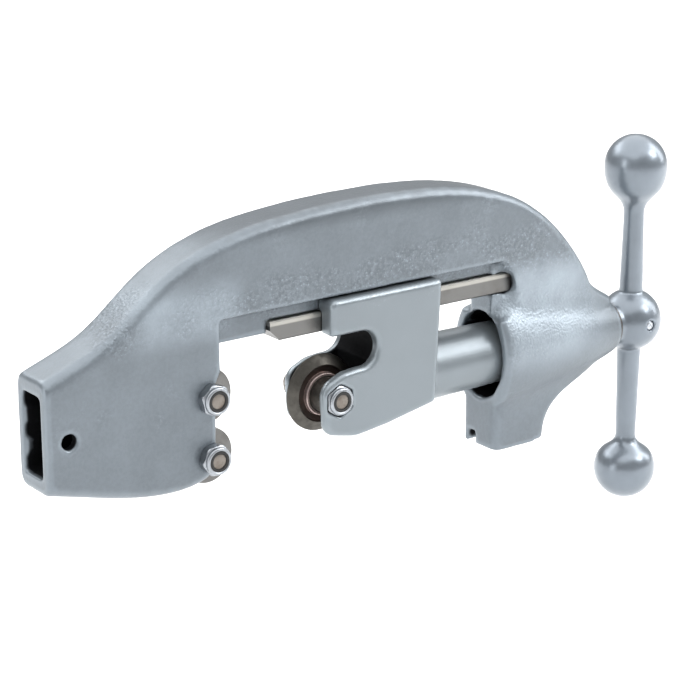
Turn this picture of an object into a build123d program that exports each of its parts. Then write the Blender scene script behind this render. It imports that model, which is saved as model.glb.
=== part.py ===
"""Screw-feed pipe cutter with one cutter wheel and two back-up rollers.

Shapes are drawn about the feed-screw axis: X = 0 is the centre of the cutter wheel at rest, +X runs
along the screw towards the handle, +Z is up.  The export moves them so that the origin is at the
middle of the socket mouth.
"""
import math
import os

from build123d import *

# ---------------------------------------------------------------- driving dimensions (mm)
PIPE_OD_MAX = 60.3          # largest pipe, nominal 2 inch
TRAVEL_IN = 33.0            # wheel travel from rest towards the rollers
TRAVEL_OUT = 27.5           # wheel travel from rest away from them

FRAME_T = 24.5              # thickness of the frame casting along Y
EDGE_R = 5.0                # rounding of the casting's outer edges
ARCH_H = 40.6               # height of the arch at its crown
LEG_X = 91.2                # left face of the boss leg
LEG_DROP = 44.5             # leg below the feed axis
FOOT_L = 31.0               # leg along X at its foot
FOOT_SLOT_W = 5.2           # slot in the foot, on the far side
FOOT_SLOT_H = 6.0

WHEEL_D = 35.0              # cutting edge diameter
WHEEL_HUB_D = 16.0
WHEEL_RING_D = 19.2         # raised ring at the foot of the hub
WHEEL_WEB = 4.4             # flat part of the blade, thickness

ROLLER_X = -64.0            # roller axes
ROLLER_PITCH = 26.5         # distance between the two roller axes
ROLLER_D = 24.6
FORK_T = 3.15               # cheek of the casting beside a roller

RAIL_W = 15.4               # flange of the T-shaped guide
RAIL_H = 9.0
RAIL_LEFT_X = -31.0
RAIL_SEAT = 11.8            # length of the guide let into the leg
NECK_W = 11.0               # neck of the T-shaped guide
NECK_H = 7.0
RAIL_SCREW_D = 5.0
RAIL_HEAD_D = 9.6
RAIL_SCREW_L = 22.6

SLIDE_W = 32.0              # slide housing along Y
SLIDE_X0 = -4.5             # left end of the upper arm
CHEEK_T = 4.5               # cheek of the slide beside the wheel
NOTCH_X = 20.5              # right end of the notch above the wheel
NOTCH_Z = 12.8              # lower side of the notch
SLEEVE_D = 30.4             # sleeve at the slide housing
SLEEVE_TIP_D = 28.4         # sleeve at its free end
SLEEVE_IN = 14.8            # sleeve inside the boss at rest

BORE_W = 30.8               # oval opening for the sleeve
BORE_H = 41.6
BOSS_LEN = 78.3
BOSS_ROOT_W = 40.0
BOSS_ROOT_H = 58.0
BOSS_MID_W = 35.0           # boss where its hollow ends
BOSS_MID_H = 42.0
BOSS_TIP_D = 25.6
WEB_TIP_W = 15.0            # web thickness at the boss tip

SCREW_D = 19.0              # outer diameter of the feed thread
JOURNAL_D = 14.0
COLLAR_T = 3.5
WASHER_T = 1.3
ENGAGE = 16.0               # shortest thread engagement in the sleeve

HUB_GAP = 16.1              # boss tip to the middle of the handle
HUB_D = 30.4
BALL_D = 30.0
BALL_SPREAD = 152.6         # between the two ball centres
UPPER_NECK = 23.5           # middle of the upper ball to the end of its neck
LOWER_NECK = 18.0
ROD_D_HUB = 12.2
ROD_D_BALL = 9.8
SPRING_PIN_D = 5.0

SOCKET_L = 78.0             # roller axes to the socket mouth
SOCKET_Z = 10.0             # middle of the socket, above the feed axis
SOCKET_W = 14.6
SOCKET_H = 35.0
SOCKET_DEPTH = 46.0
PAD_T = 0.8                 # raised pads on the socket's far wall
PAD_H = 7.0
PAD_PITCH = 14.0
CROSS_HOLE_D = 7.0
CROSS_HOLE_IN = 10.3        # hole in the socket's near wall, behind the mouth
CROSS_HOLE_DROP = 1.9       # the same hole, below the middle of the socket

BOLT_D = 7.9                # bolts through wheel and rollers
NUT_RIM = 2.4               # nut flats beyond the bolt
NUT_H = 5.8                 # hex nut with its collar
INSERT_RIM = 0.75           # nylon ring beyond the bolt
INSERT_H = 1.65
HEAD_H = 5.0
NUT_POCKET = 4.2            # depth of the nut's pocket in the slide
HEAD_POCKET = 2.2
BUSH_WALL = 1.4

# ---------------------------------------------------------------- clearances
RUN = 0.06                  # radial, turning and sliding fits
PRESS = 0.04                # radial, fixed pins and screws
SIDE = 0.4                  # end float beside wheel and rollers
AIR = 1.0                   # free gap between castings
STOP_GAP = 7.2              # slide to leg with the wheel fully out
END_GAP = 2.7               # sleeve to collar with the wheel fully out

# ---------------------------------------------------------------- derived sizes and places
HALF_T = FRAME_T / 2
ROLLER_GAP = FRAME_T - 2 * FORK_T
ROLLER_W = ROLLER_GAP - 2 * SIDE
ROLLER_Z = ROLLER_PITCH / 2
ROLLER_REACH = ROLLER_D / 2 + AIR

RAIL_Z0 = PIPE_OD_MAX / 2 + 0.1
RAIL_Z1 = RAIL_Z0 + RAIL_H
RAIL_RIGHT_X = LEG_X + RAIL_SEAT
RAIL_SCREW_X = (RAIL_LEFT_X + 15, (RAIL_LEFT_X + RAIL_RIGHT_X) / 2, RAIL_RIGHT_X - 19)
ARCH_Z0 = RAIL_Z1 + NECK_H

SLIDE_X1 = LEG_X - TRAVEL_OUT - STOP_GAP
SLIDE_Z1 = ARCH_Z0 - AIR
SLIDE_HALF = SLIDE_W / 2
CHEEK_IN = SLIDE_HALF - CHEEK_T
WHEEL_W = 2 * (CHEEK_IN - SIDE)
SLEEVE_END_X = LEG_X + SLEEVE_IN

HOLLOW_END_X = SLEEVE_END_X + TRAVEL_OUT + END_GAP + COLLAR_T + WASHER_T
BOSS_END_X = LEG_X + BOSS_LEN
COLLAR_X = HOLLOW_END_X - WASHER_T - COLLAR_T
SCREW_TIP_X = SLEEVE_END_X - TRAVEL_IN - ENGAGE
HUB_X = BOSS_END_X + HUB_GAP

SOCKET_X = ROLLER_X - SOCKET_L
NUT_AF = BOLT_D + 2 * NUT_RIM
NUT_CORNER = NUT_AF / math.sqrt(3)
INSERT_D = BOLT_D + 2 * INSERT_RIM
PIN_L = HUB_D - 1.6


def xz(*points):
    """Points of the XZ plane as vectors."""
    return [Vector(x, 0, z) for x, z in points]


def face_of(outline):
    """Flat face inside a closed outline."""
    return make_face(Wire([edge for piece in outline for edge in piece.edges()]))


def box(x0, x1, half_y, z0, z1):
    """Box given by its X and Z limits, centred on Y = 0."""
    return Pos((x0 + x1) / 2, 0, (z0 + z1) / 2) * Box(x1 - x0, 2 * half_y, z1 - z0)


def cyl_x(radius, x0, x1):
    """Cylinder along the feed axis."""
    return Pos((x0 + x1) / 2, 0, 0) * Rot(0, 90, 0) * Cylinder(radius, x1 - x0)


def cone_x(r0, r1, x0, x1):
    """Cone along the feed axis, r0 at x0 and r1 at x1."""
    return Pos((x0 + x1) / 2, 0, 0) * Rot(0, 90, 0) * Cone(r0, r1, x1 - x0)


def cyl_y(radius, y0, y1, x=0.0, z=0.0):
    """Cylinder along Y."""
    return Pos(x, (y0 + y1) / 2, z) * Rot(90, 0, 0) * Cylinder(radius, y1 - y0)


def hex_y(across_flats, y0, y1, x, z):
    """Hexagonal prism along Y."""
    sketch = RegularPolygon(across_flats / math.sqrt(3), 6, rotation=30)
    return Pos(x, 0, z) * extrude(Plane.XZ.offset(-y0) * sketch, amount=y0 - y1)


def section(x, width, height):
    """Elliptical cross section of the boss at x."""
    return Plane((x, 0, 0), x_dir=(0, 1, 0), z_dir=(1, 0, 0)) * Ellipse(width / 2, height / 2)


# ---------------------------------------------------------------- frame casting
def arch_outline():
    """Closed outline of the C-shaped casting."""
    tip_top = Vector(BOSS_END_X - 3, 0, BOSS_TIP_D / 2 + 3.7)
    tip_low = Vector(BOSS_END_X - 3, 0, 1.8 - BOSS_TIP_D / 2)
    heel = Vector(LEG_X + FOOT_L + 1, 0, FOOT_SLOT_H - LEG_DROP)
    top = Spline(
        *xz(
            (SOCKET_X, SOCKET_Z + 24), (SOCKET_X + 27, ARCH_Z0 - 1.2), (ROLLER_X - 27, ARCH_Z0 + 16.8),
            (ROLLER_X - 4, ARCH_Z0 + 29.6), (ROLLER_X + 44, ARCH_Z0 + ARCH_H - 1.6),
            (LEG_X - 57, ARCH_Z0 + ARCH_H), (LEG_X + 1, ARCH_Z0 + ARCH_H - 8.2),
            (LEG_X + 37, ARCH_Z0 + 10.8), (BOSS_END_X - 20, tip_top.Z + 13.7), (tip_top.X, tip_top.Z),
        ),
        tangents=[(0.92, 0, 0.39), (0.88, 0, -0.47)],
    )
    under = Spline(
        tip_low, *xz((BOSS_END_X - 22, -19.5), (LEG_X + 40, -27)), heel,
        tangents=[(-0.93, 0, -0.37), (-0.2, 0, -0.98)],
    )
    foot = Polyline(heel, *xz((LEG_X + FOOT_L - 1, 1 - LEG_DROP), (LEG_X + FOOT_L - 8, -LEG_DROP),
                              (LEG_X, -LEG_DROP)))
    throat_x = ROLLER_X + 5
    chin = Vector(ROLLER_X - 3, 0, -ROLLER_Z - 10.75)
    throat = Polyline(*xz((LEG_X, -LEG_DROP), (LEG_X, ARCH_Z0), (throat_x, ARCH_Z0),
                          (throat_x, ROLLER_Z + 10.75), (throat_x - 3, ROLLER_Z + 4.75),
                          (throat_x - 3, -ROLLER_Z - 5.75)), chin)
    low = Spline(
        chin, *xz((ROLLER_X - 16, chin.Z - 2), (ROLLER_X - 46, chin.Z + 1.9), (SOCKET_X, SOCKET_Z - 23.8)),
        tangents=[(-0.9, 0, -0.3), (-0.97, 0, 0.24)],
    )
    return [top, Line(top @ 1, tip_low), under, foot, throat, low, Line(low @ 1, top @ 0)]


def web_plan():
    """Block seen from above: full thickness over the arch, thinner towards the boss tip."""
    start = (LEG_X + 5, HALF_T)
    side = Spline(start, (BOSS_END_X, WEB_TIP_W / 2), tangents=[(1, 0), (0.97, -0.22)])
    half = [Line((SOCKET_X - 1, HALF_T), start), side]
    outline = half + [mirror(piece, about=Plane.XZ) for piece in half]
    outline += [Line((SOCKET_X - 1, HALF_T), (SOCKET_X - 1, -HALF_T)),
                Line((BOSS_END_X, WEB_TIP_W / 2), (BOSS_END_X, -WEB_TIP_W / 2))]
    height = 2 * (ARCH_Z0 + ARCH_H + LEG_DROP)
    return Pos(0, 0, -height / 2) * extrude(face_of(outline), amount=height)


def on_rim(edge):
    """Whether an edge of the C-shaped block belongs to its rounded outer rim."""
    centre = edge.center()
    if abs(centre.Y) < WEB_TIP_W / 2 or edge.length < 12:
        return False
    outside = centre.Z > ARCH_Z0 + 5 or centre.X > BOSS_END_X - 30 or centre.X < ROLLER_X - 10
    return outside and centre.X > SOCKET_X + 1


def casting_block():
    """C-shaped block with its outer rim, its leg and the socket mouth rounded."""
    block = extrude(face_of(arch_outline()), amount=HALF_T, dir=(0, 1, 0), both=True) & web_plan()
    block = fillet(block.edges().filter_by(on_rim), radius=EDGE_R)
    leg = block.edges().filter_by(Axis.Z).filter_by(lambda e: abs(e.center().X - LEG_X) < 0.01)
    block = fillet(leg, radius=EDGE_R - 0.8)
    mouth = block.faces().sort_by(Axis.X)[0]
    return fillet(mouth.edges(), radius=2)


def boss_body():
    """Tapering boss from the leg's face to the thrust face at the handle."""
    body = loft([section(LEG_X, BOSS_ROOT_W, BOSS_ROOT_H), section(HOLLOW_END_X, BOSS_MID_W, BOSS_MID_H),
                 section(BOSS_END_X, BOSS_TIP_D, BOSS_TIP_D)])
    ends = body.faces().sort_by(Axis.X)
    body = fillet(ends[0].edges(), radius=3)
    return fillet(body.faces().sort_by(Axis.X)[-1].edges(), radius=2.5)


def socket_cut():
    """Rectangular socket with raised pads on its far wall, and a round hole through its near wall."""
    mouth = box(SOCKET_X - 1, SOCKET_X + SOCKET_DEPTH, SOCKET_W / 2, SOCKET_Z - SOCKET_H / 2,
                SOCKET_Z + SOCKET_H / 2)
    mouth = fillet(mouth.edges().filter_by(Axis.X), radius=2)
    for z in (SOCKET_Z - PAD_PITCH / 2, SOCKET_Z + PAD_PITCH / 2):
        pad = box(SOCKET_X + 2, SOCKET_X + SOCKET_DEPTH + 1, PAD_T, z - PAD_H / 2, z + PAD_H / 2)
        mouth -= Pos(0, SOCKET_W / 2, 0) * pad
    hole_x = SOCKET_X + CROSS_HOLE_IN
    return mouth + cyl_y(CROSS_HOLE_D / 2, -FRAME_T, 0, hole_x, SOCKET_Z - CROSS_HOLE_DROP)


def roller_cut():
    """Slot for both rollers and the holes for their bolts."""
    half = ROLLER_GAP / 2
    cut = box(ROLLER_X, ROLLER_X + ROLLER_D, half, -ROLLER_Z - ROLLER_REACH, ROLLER_Z + ROLLER_REACH)
    for z in (-ROLLER_Z, ROLLER_Z):
        cut += cyl_y(ROLLER_REACH, -half, half, ROLLER_X, z)
        cut += cyl_y(BOLT_D / 2, -FRAME_T, FRAME_T, ROLLER_X, z)
    return cut


def rail_seat():
    """Pocket in the leg for the right end of the guide, with a round relief on each side of it."""
    seat = box(LEG_X - 1, RAIL_RIGHT_X + PRESS, RAIL_W / 2 + RUN, RAIL_Z0 - PRESS, RAIL_Z1)
    relief = cyl_y(RAIL_H + NECK_H - 2, -FRAME_T, FRAME_T, LEG_X - 3, RAIL_Z0 + 2)
    relief -= box(LEG_X - FRAME_T, LEG_X + FRAME_T, RAIL_W / 2 + RUN, 0, ARCH_Z0 + 1)
    relief -= box(LEG_X - FRAME_T, LEG_X, FRAME_T, 0, ARCH_Z0 + 1)
    return seat + relief


def bore_cut():
    """Oval opening, tapering hollow and journal bore."""
    face = section(LEG_X - 1, BORE_W, BORE_H)
    oval = extrude(face, amount=SLEEVE_IN + 5)
    hollow = cone_x(BORE_W / 2, SLEEVE_TIP_D / 2 + RUN + 0.3, LEG_X + SLEEVE_IN, HOLLOW_END_X)
    return oval + hollow + cyl_x(JOURNAL_D / 2 + RUN, HOLLOW_END_X - 1, BOSS_END_X + 1)


def make_frame():
    """C-shaped casting with socket leg, arch, neck of the guide, boss leg and boss."""
    body = casting_block() + boss_body()
    body += box(ROLLER_X + 4, LEG_X + 1, NECK_W / 2, RAIL_Z1, ARCH_Z0 + 1)
    body += box(ROLLER_X + 4, RAIL_LEFT_X, NECK_W / 2, RAIL_Z0 + 3.5, RAIL_Z1 + 1)
    body -= socket_cut() + roller_cut() + rail_seat() + bore_cut()
    slot = box(LEG_X - 1, LEG_X + FOOT_L + 10, FOOT_SLOT_W / 2, -LEG_DROP - 1, FOOT_SLOT_H - LEG_DROP)
    body -= Pos(0, FOOT_SLOT_W, 0) * slot
    for x in RAIL_SCREW_X:
        body -= Pos(x, 0, RAIL_Z1 + 7) * Cylinder(RAIL_SCREW_D / 2, 14.4)
    return body


# ---------------------------------------------------------------- guide rail
def make_guide_rail():
    """Steel bar under the neck, with countersunk holes."""
    bar = box(RAIL_LEFT_X, RAIL_RIGHT_X, RAIL_W / 2, RAIL_Z0, RAIL_Z1)
    left_low = bar.edges().filter_by(Axis.Y).sort_by(lambda e: e.center().X + e.center().Z)[0]
    bar = chamfer(left_low, length=5)
    bar = chamfer(bar.edges().filter_by(Axis.X), length=0.6)
    sink = RAIL_HEAD_D / 4
    for x in RAIL_SCREW_X:
        bar -= Pos(x, 0, RAIL_Z0 + RAIL_H / 2) * Cylinder(RAIL_SCREW_D / 2, RAIL_H + 1)
        bar -= Pos(x, 0, RAIL_Z0 + sink / 2) * Cone(RAIL_HEAD_D / 2 + 0.2, RAIL_SCREW_D / 2 + 0.1, sink)
    return bar


def make_rail_screw(x):
    """Countersunk screw with a hexagon socket, from below through the rail into the neck."""
    bottom = RAIL_Z0 + 0.2
    shank = Pos(x, 0, bottom + RAIL_SCREW_L / 2) * Cylinder(RAIL_SCREW_D / 2 - PRESS, RAIL_SCREW_L)
    head = Pos(x, 0, bottom + 1.1) * Cone(RAIL_HEAD_D / 2, RAIL_SCREW_D / 2 + 0.1, 2.2)
    key = Pos(x, 0, bottom) * extrude(RegularPolygon(1.7, 6), amount=1.8)
    return shank + head - key


# ---------------------------------------------------------------- fasteners through wheel and rollers
def make_bolt(x, z, head_y, nut_seat_y):
    """Hexagon bolt along Y: head behind, end just inside the nut's collar in front."""
    head = hex_y(NUT_AF, head_y, head_y + HEAD_H, x, z)
    head = head & cyl_y(NUT_CORNER - 0.5, head_y - 1, head_y + HEAD_H + 1, x, z)
    shank = cyl_y(BOLT_D / 2 - PRESS, nut_seat_y - NUT_H + 0.4, head_y, x, z)
    return head + chamfer(shank.edges().sort_by(Axis.Y)[0], length=0.7)


def make_nut(x, z, seat_y):
    """Self-locking nut along Y: hexagon at the seat, round collar in front."""
    front = seat_y - NUT_H
    hexagon = hex_y(NUT_AF, front + 1.6, seat_y, x, z)
    hexagon = hexagon & cyl_y(NUT_CORNER - 0.4, front, seat_y + 1, x, z)
    collar = cyl_y(NUT_AF / 2 - 0.25, front, front + 2, x, z)
    collar = fillet(collar.edges().sort_by(Axis.Y)[0], radius=1.1)
    nut = hexagon + collar - cyl_y(BOLT_D / 2, front - 1, seat_y + 1, x, z)
    return nut - cyl_y(INSERT_D / 2, front - 1, front + INSERT_H, x, z)


def make_insert(x, z, seat_y):
    """Nylon locking ring in the nut's collar."""
    front = seat_y - NUT_H
    ring = cyl_y(INSERT_D / 2, front + 0.15, front + INSERT_H, x, z)
    return ring - cyl_y(BOLT_D / 2 - PRESS, front - 1, seat_y, x, z)


# ---------------------------------------------------------------- rollers and cutter wheel
def make_roller(z):
    """Hardened roller with chamfered ends."""
    body = cyl_y(ROLLER_D / 2, -ROLLER_W / 2, ROLLER_W / 2, ROLLER_X, z)
    body = chamfer(body.edges(), length=0.8)
    return body - cyl_y(BOLT_D / 2 + RUN, -ROLLER_W, ROLLER_W, ROLLER_X, z)


def make_cutter_wheel():
    """Wheel with a bevelled cutting edge, a raised ring and a long hub."""
    edge = WHEEL_D / 2
    ring = WHEEL_RING_D / 2
    hub = WHEEL_HUB_D / 2
    end = WHEEL_W / 2
    web = WHEEL_WEB / 2
    bore = BOLT_D / 2 + BUSH_WALL + RUN
    half = [(bore, end), (hub - 0.5, end), (hub, end - 0.5), (hub, web + 2), (ring - 0.6, web + 2),
            (ring, web + 1.4), (ring, web), (edge - 5.2, web), (edge - 4.6, web + 0.7), (edge, 0.15)]
    mirrored = [(radius, -d) for radius, d in reversed(half)]
    outline = [Vector(radius, 0, d) for radius, d in half + mirrored]
    return revolve(make_face(Polyline(*outline, close=True)), Axis.Z).rotate(Axis.X, -90)


def make_wheel_bush():
    """Steel bush on the bolt, on which the wheel turns, clamped between the cheeks."""
    bush = cyl_y(BOLT_D / 2 + BUSH_WALL, -CHEEK_IN, CHEEK_IN)
    return bush - cyl_y(BOLT_D / 2, -CHEEK_IN - 1, CHEEK_IN + 1)


# ---------------------------------------------------------------- slide
def slide_outline():
    """Closed outline of the slide housing: each corner as (x, z, radius)."""
    arm_z = RAIL_Z0 - 1.2
    round_end = min((arm_z - NOTCH_Z) / 2 - 0.05, NOTCH_X - 12.4)
    corners = [
        (SLIDE_X0, arm_z, 2.0), (SLIDE_X0, SLIDE_Z1, 3.0), (SLIDE_X1, SLIDE_Z1, 1.5),
        (SLIDE_X1 - 3, 4 - SLEEVE_D / 2, 3.0), (26, -16.5, 30.0), (9, -18.6, 18.0), (-7.5, -15, 6.5),
        (-9, 7, 8.0), (2, NOTCH_Z - 0.8, 12.0), (10, NOTCH_Z, 10.0), (NOTCH_X, NOTCH_Z, round_end),
        (NOTCH_X, arm_z, round_end),
    ]
    points = xz(*[(x, z) for x, z, _ in corners])
    return [FilletPolyline(*points, radius=[r for _, _, r in corners], close=True)]


def wheel_room():
    """Space for the wheel between the cheeks, open to the left and to the notch."""
    room = box(SLIDE_X0 - 9, 6, CHEEK_IN, -WHEEL_D, RAIL_Z0 - 0.5)
    room += cyl_y(WHEEL_D / 2 + 1.5, -CHEEK_IN, CHEEK_IN)
    return room + box(5, WHEEL_D / 2, CHEEK_IN, 5, RAIL_Z0 - 3)


def make_slide_housing():
    """Housing that hangs on the rail, carries the wheel and ends in the threaded sleeve."""
    body = extrude(face_of(slide_outline()), amount=SLIDE_HALF, dir=(0, 1, 0), both=True)
    rim = body.edges().filter_by(lambda e: abs(abs(e.center().Y) - SLIDE_HALF) < 0.01)
    body = fillet(rim, radius=2.6)
    sleeve = cone_x(SLEEVE_D / 2, SLEEVE_TIP_D / 2, SLIDE_X1 - 8, SLEEVE_END_X)
    body += chamfer(sleeve.edges().sort_by(Axis.X)[-1], length=0.8)
    body -= box(SLIDE_X0 - 1, SLIDE_X1 + 1, RAIL_W / 2 + RUN, RAIL_Z0 - RUN, RAIL_Z1 + RUN)
    body -= box(SLIDE_X0 - 1, SLIDE_X1 + 1, NECK_W / 2 + RUN, RAIL_Z1, SLIDE_Z1 + 1)
    body -= box(SLIDE_X0 - 1, WHEEL_D / 3, RAIL_W / 2 + RUN, RAIL_Z0 - 5, RAIL_Z0)
    body -= wheel_room()
    body -= cyl_x(SCREW_D / 2 + RUN, SCREW_TIP_X - TRAVEL_OUT - STOP_GAP, SLEEVE_END_X + 1)
    body -= cyl_y(BOLT_D / 2, -SLIDE_W, SLIDE_W)
    body -= hex_y(NUT_AF + 0.6, -SLIDE_W, NUT_POCKET - SLIDE_HALF, 0, 0)
    return body - cyl_y(NUT_CORNER + 0.7, SLIDE_HALF - HEAD_POCKET, SLIDE_W)


# ---------------------------------------------------------------- feed screw and handle
def make_feed_screw():
    """Threaded shaft with a shoulder, a journal in the boss and a stub in the hub."""
    thread = cyl_x(SCREW_D / 2, SCREW_TIP_X, COLLAR_X)
    screw = chamfer(thread.edges().sort_by(Axis.X)[0], length=1.5)
    screw += cyl_x(JOURNAL_D / 2 + 5.5, COLLAR_X, COLLAR_X + COLLAR_T)
    screw += cyl_x(JOURNAL_D / 2, COLLAR_X + 1, HUB_X + JOURNAL_D / 2)
    return screw - cyl_y(SPRING_PIN_D / 2, -HUB_D, HUB_D, HUB_X)


def make_washer(x0):
    """Thrust washer on the journal."""
    return cyl_x(JOURNAL_D / 2 + 4, x0, x0 + WASHER_T) - cyl_x(JOURNAL_D / 2 + RUN, x0 - 1, x0 + WASHER_T + 1)


def make_arm(neck, outward):
    """One arm of the handle: a tapered rod with an egg-shaped ball at its end."""
    ball = BALL_D / 2
    rod = ROD_D_BALL / 2
    end = Vector(0, 0, ball)
    side = Vector(ball, 0, 0)
    foot = Vector(rod, 0, -neck)
    profile = [
        ThreePointArc(end, Vector(ball, 0, ball) / math.sqrt(2), side),
        Spline(side, Vector(0.54 * ball + 0.6 * rod, 0, -0.55 * neck), foot, tangents=[(0, 0, -1), (0, 0, -1)]),
        Polyline(foot, Vector(0, 0, -neck), end),
    ]
    spread = BALL_SPREAD / 2
    arm = Pos(0, 0, spread) * revolve(face_of(profile), Axis.Z)
    arm += Pos(0, 0, (spread - neck) / 2) * Cone(ROD_D_HUB / 2, rod, spread - neck)
    return Pos(HUB_X, 0, 0) * (arm if outward > 0 else Rot(180, 0, 0) * arm)


def make_handle():
    """Hub, two tapered rods and two balls in one piece."""
    handle = Pos(HUB_X, 0, 0) * Sphere(HUB_D / 2)
    handle += cyl_x(JOURNAL_D / 2 + 3, BOSS_END_X + WASHER_T + 0.2, HUB_X)
    handle += make_arm(UPPER_NECK, 1)
    handle += make_arm(LOWER_NECK, -1)
    handle -= cyl_x(JOURNAL_D / 2 + PRESS, BOSS_END_X, HUB_X + JOURNAL_D / 2 + PRESS)
    return handle - cyl_y(SPRING_PIN_D / 2, -HUB_D, HUB_D, HUB_X)


def make_spring_pin():
    """Slotted tube through hub and screw."""
    pin = cyl_y(SPRING_PIN_D / 2 - PRESS, -PIN_L / 2, PIN_L / 2, HUB_X)
    pin -= cyl_y(SPRING_PIN_D / 2 - 1, -PIN_L, PIN_L, HUB_X)
    return pin - Pos(HUB_X + SPRING_PIN_D / 2, 0, 0) * Box(SPRING_PIN_D / 2, PIN_L + 2, 0.8)


# ---------------------------------------------------------------- export
def save(name, shape):
    """Write one node, with the origin moved to the socket mouth."""
    export_step(Pos(-SOCKET_X, 0, -SOCKET_Z) * shape, f"parts/{name}.step")


def main():
    os.makedirs("parts", exist_ok=True)
    save("frame", make_frame())
    save("guide_rail", make_guide_rail())
    for name, x in zip(("left", "middle", "right"), RAIL_SCREW_X):
        save(f"{name}_rail_screw", make_rail_screw(x))
    for name, z in (("upper", ROLLER_Z), ("lower", -ROLLER_Z)):
        save(f"{name}_roller", make_roller(z))
        save(f"{name}_roller_bolt", make_bolt(ROLLER_X, z, HALF_T, -HALF_T))
        save(f"{name}_roller_nut", make_nut(ROLLER_X, z, -HALF_T))
        save(f"{name}_nut_insert", make_insert(ROLLER_X, z, -HALF_T))
    wheel_nut_y = NUT_POCKET - SLIDE_HALF
    save("slide_housing", make_slide_housing())
    save("cutter_wheel", make_cutter_wheel())
    save("wheel_bush", make_wheel_bush())
    save("wheel_bolt", make_bolt(0, 0, SLIDE_HALF - HEAD_POCKET, wheel_nut_y))
    save("wheel_nut", make_nut(0, 0, wheel_nut_y))
    save("wheel_nut_insert", make_insert(0, 0, wheel_nut_y))
    save("feed_screw", make_feed_screw())
    save("inner_thrust_washer", make_washer(HOLLOW_END_X - WASHER_T))
    save("outer_thrust_washer", make_washer(BOSS_END_X))
    save("handle", make_handle())
    save("handle_spring_pin", make_spring_pin())


if __name__ == "__main__":
    main()
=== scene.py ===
"""Finished look of a screw-feed pipe cutter: castings, turned steel parts, fasteners and a studio.

Sizes are in metres, in the part's own frame: the origin is the middle of the socket mouth, +X runs
along the feed screw to the handle and +Z points up.
"""
import math

import bmesh
import bpy
import numpy as np
from bpy.props import FloatProperty, FloatVectorProperty, IntProperty, PointerProperty
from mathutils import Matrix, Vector, noise
from mathutils.bvhtree import BVHTree


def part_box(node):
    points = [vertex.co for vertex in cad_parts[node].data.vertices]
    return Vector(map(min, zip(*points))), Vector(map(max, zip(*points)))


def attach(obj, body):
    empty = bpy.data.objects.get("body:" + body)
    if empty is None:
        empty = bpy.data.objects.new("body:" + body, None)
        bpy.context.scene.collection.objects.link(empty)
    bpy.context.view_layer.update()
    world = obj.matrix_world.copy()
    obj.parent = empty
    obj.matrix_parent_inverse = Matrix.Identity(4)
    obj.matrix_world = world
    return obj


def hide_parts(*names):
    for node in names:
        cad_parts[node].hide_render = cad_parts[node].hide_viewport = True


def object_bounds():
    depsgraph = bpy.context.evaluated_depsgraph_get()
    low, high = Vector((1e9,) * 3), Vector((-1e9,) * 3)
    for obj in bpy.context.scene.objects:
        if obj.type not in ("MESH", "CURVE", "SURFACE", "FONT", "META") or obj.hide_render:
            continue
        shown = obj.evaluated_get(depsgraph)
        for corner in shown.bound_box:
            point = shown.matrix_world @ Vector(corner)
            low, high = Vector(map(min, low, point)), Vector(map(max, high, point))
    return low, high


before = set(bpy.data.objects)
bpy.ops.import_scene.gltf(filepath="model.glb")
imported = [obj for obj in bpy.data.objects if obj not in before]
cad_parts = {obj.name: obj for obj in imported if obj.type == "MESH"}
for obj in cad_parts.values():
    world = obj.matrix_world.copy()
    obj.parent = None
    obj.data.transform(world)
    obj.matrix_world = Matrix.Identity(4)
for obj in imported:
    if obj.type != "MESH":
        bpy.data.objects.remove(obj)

bl_info = {
    "name": "Pipe Cutter",
    "version": (1, 0, 0),
    "blender": (4, 5, 0),
    "location": "3D View > Sidebar > Pipe Cutter",
    "description": "Finished meshes, materials and studio for a screw-feed pipe cutter",
    "category": "Object",
}

MM = 0.001
CAD_BOX = [list(corner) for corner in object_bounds()]


# ---------------------------------------------------------------- places taken from the frame
def middle(node):
    """Middle of a node's box."""
    low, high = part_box(node)
    return (low + high) / 2


def width(node, axis):
    """Size of a node's box along one axis, 0 to 2."""
    low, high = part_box(node)
    return (high - low)[axis]


FEED = middle("feed_screw")
WHEEL = middle("cutter_wheel")
RAIL_START, RAIL_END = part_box("guide_rail")
FRAME_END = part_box("frame")[1]


# ---------------------------------------------------------------- sizes and colours a user may change
def metres(name, description, default):
    """Property for a length in metres."""
    return FloatProperty(name=name, description=description, default=default, unit="LENGTH", precision=5)


def tint(name, description, default):
    """Property for a base colour."""
    return FloatVectorProperty(name=name, description=description, default=default, subtype="COLOR")


def watts(name, lamp, default):
    """Property for a light's power in watts."""
    return FloatProperty(name=name, description=f"Power of the {lamp}", default=default, unit="POWER")


class CastingSizes(bpy.types.PropertyGroup):
    """Sizes that give the castings and the forging their surface."""
    frame_grain: metres("Frame grain", "Mesh size on the frame casting", 0.85 * MM)
    slide_grain: metres("Slide grain", "Mesh size on the slide casting", 0.6 * MM)
    handle_grain: metres("Handle grain", "Mesh size on the forged handle", 0.65 * MM)
    frame_ripple: metres("Frame ripple", "Height of the waves left by the sand mould", 0.16 * MM)
    slide_ripple: metres("Slide ripple", "Height of the waves on the slide", 0.06 * MM)
    ripple_length: metres("Ripple length", "Distance from wave to wave", 13 * MM)
    shelter_reach: metres("Shelter reach", "How far away a wall still shelters a hollow", 26 * MM)


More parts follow.
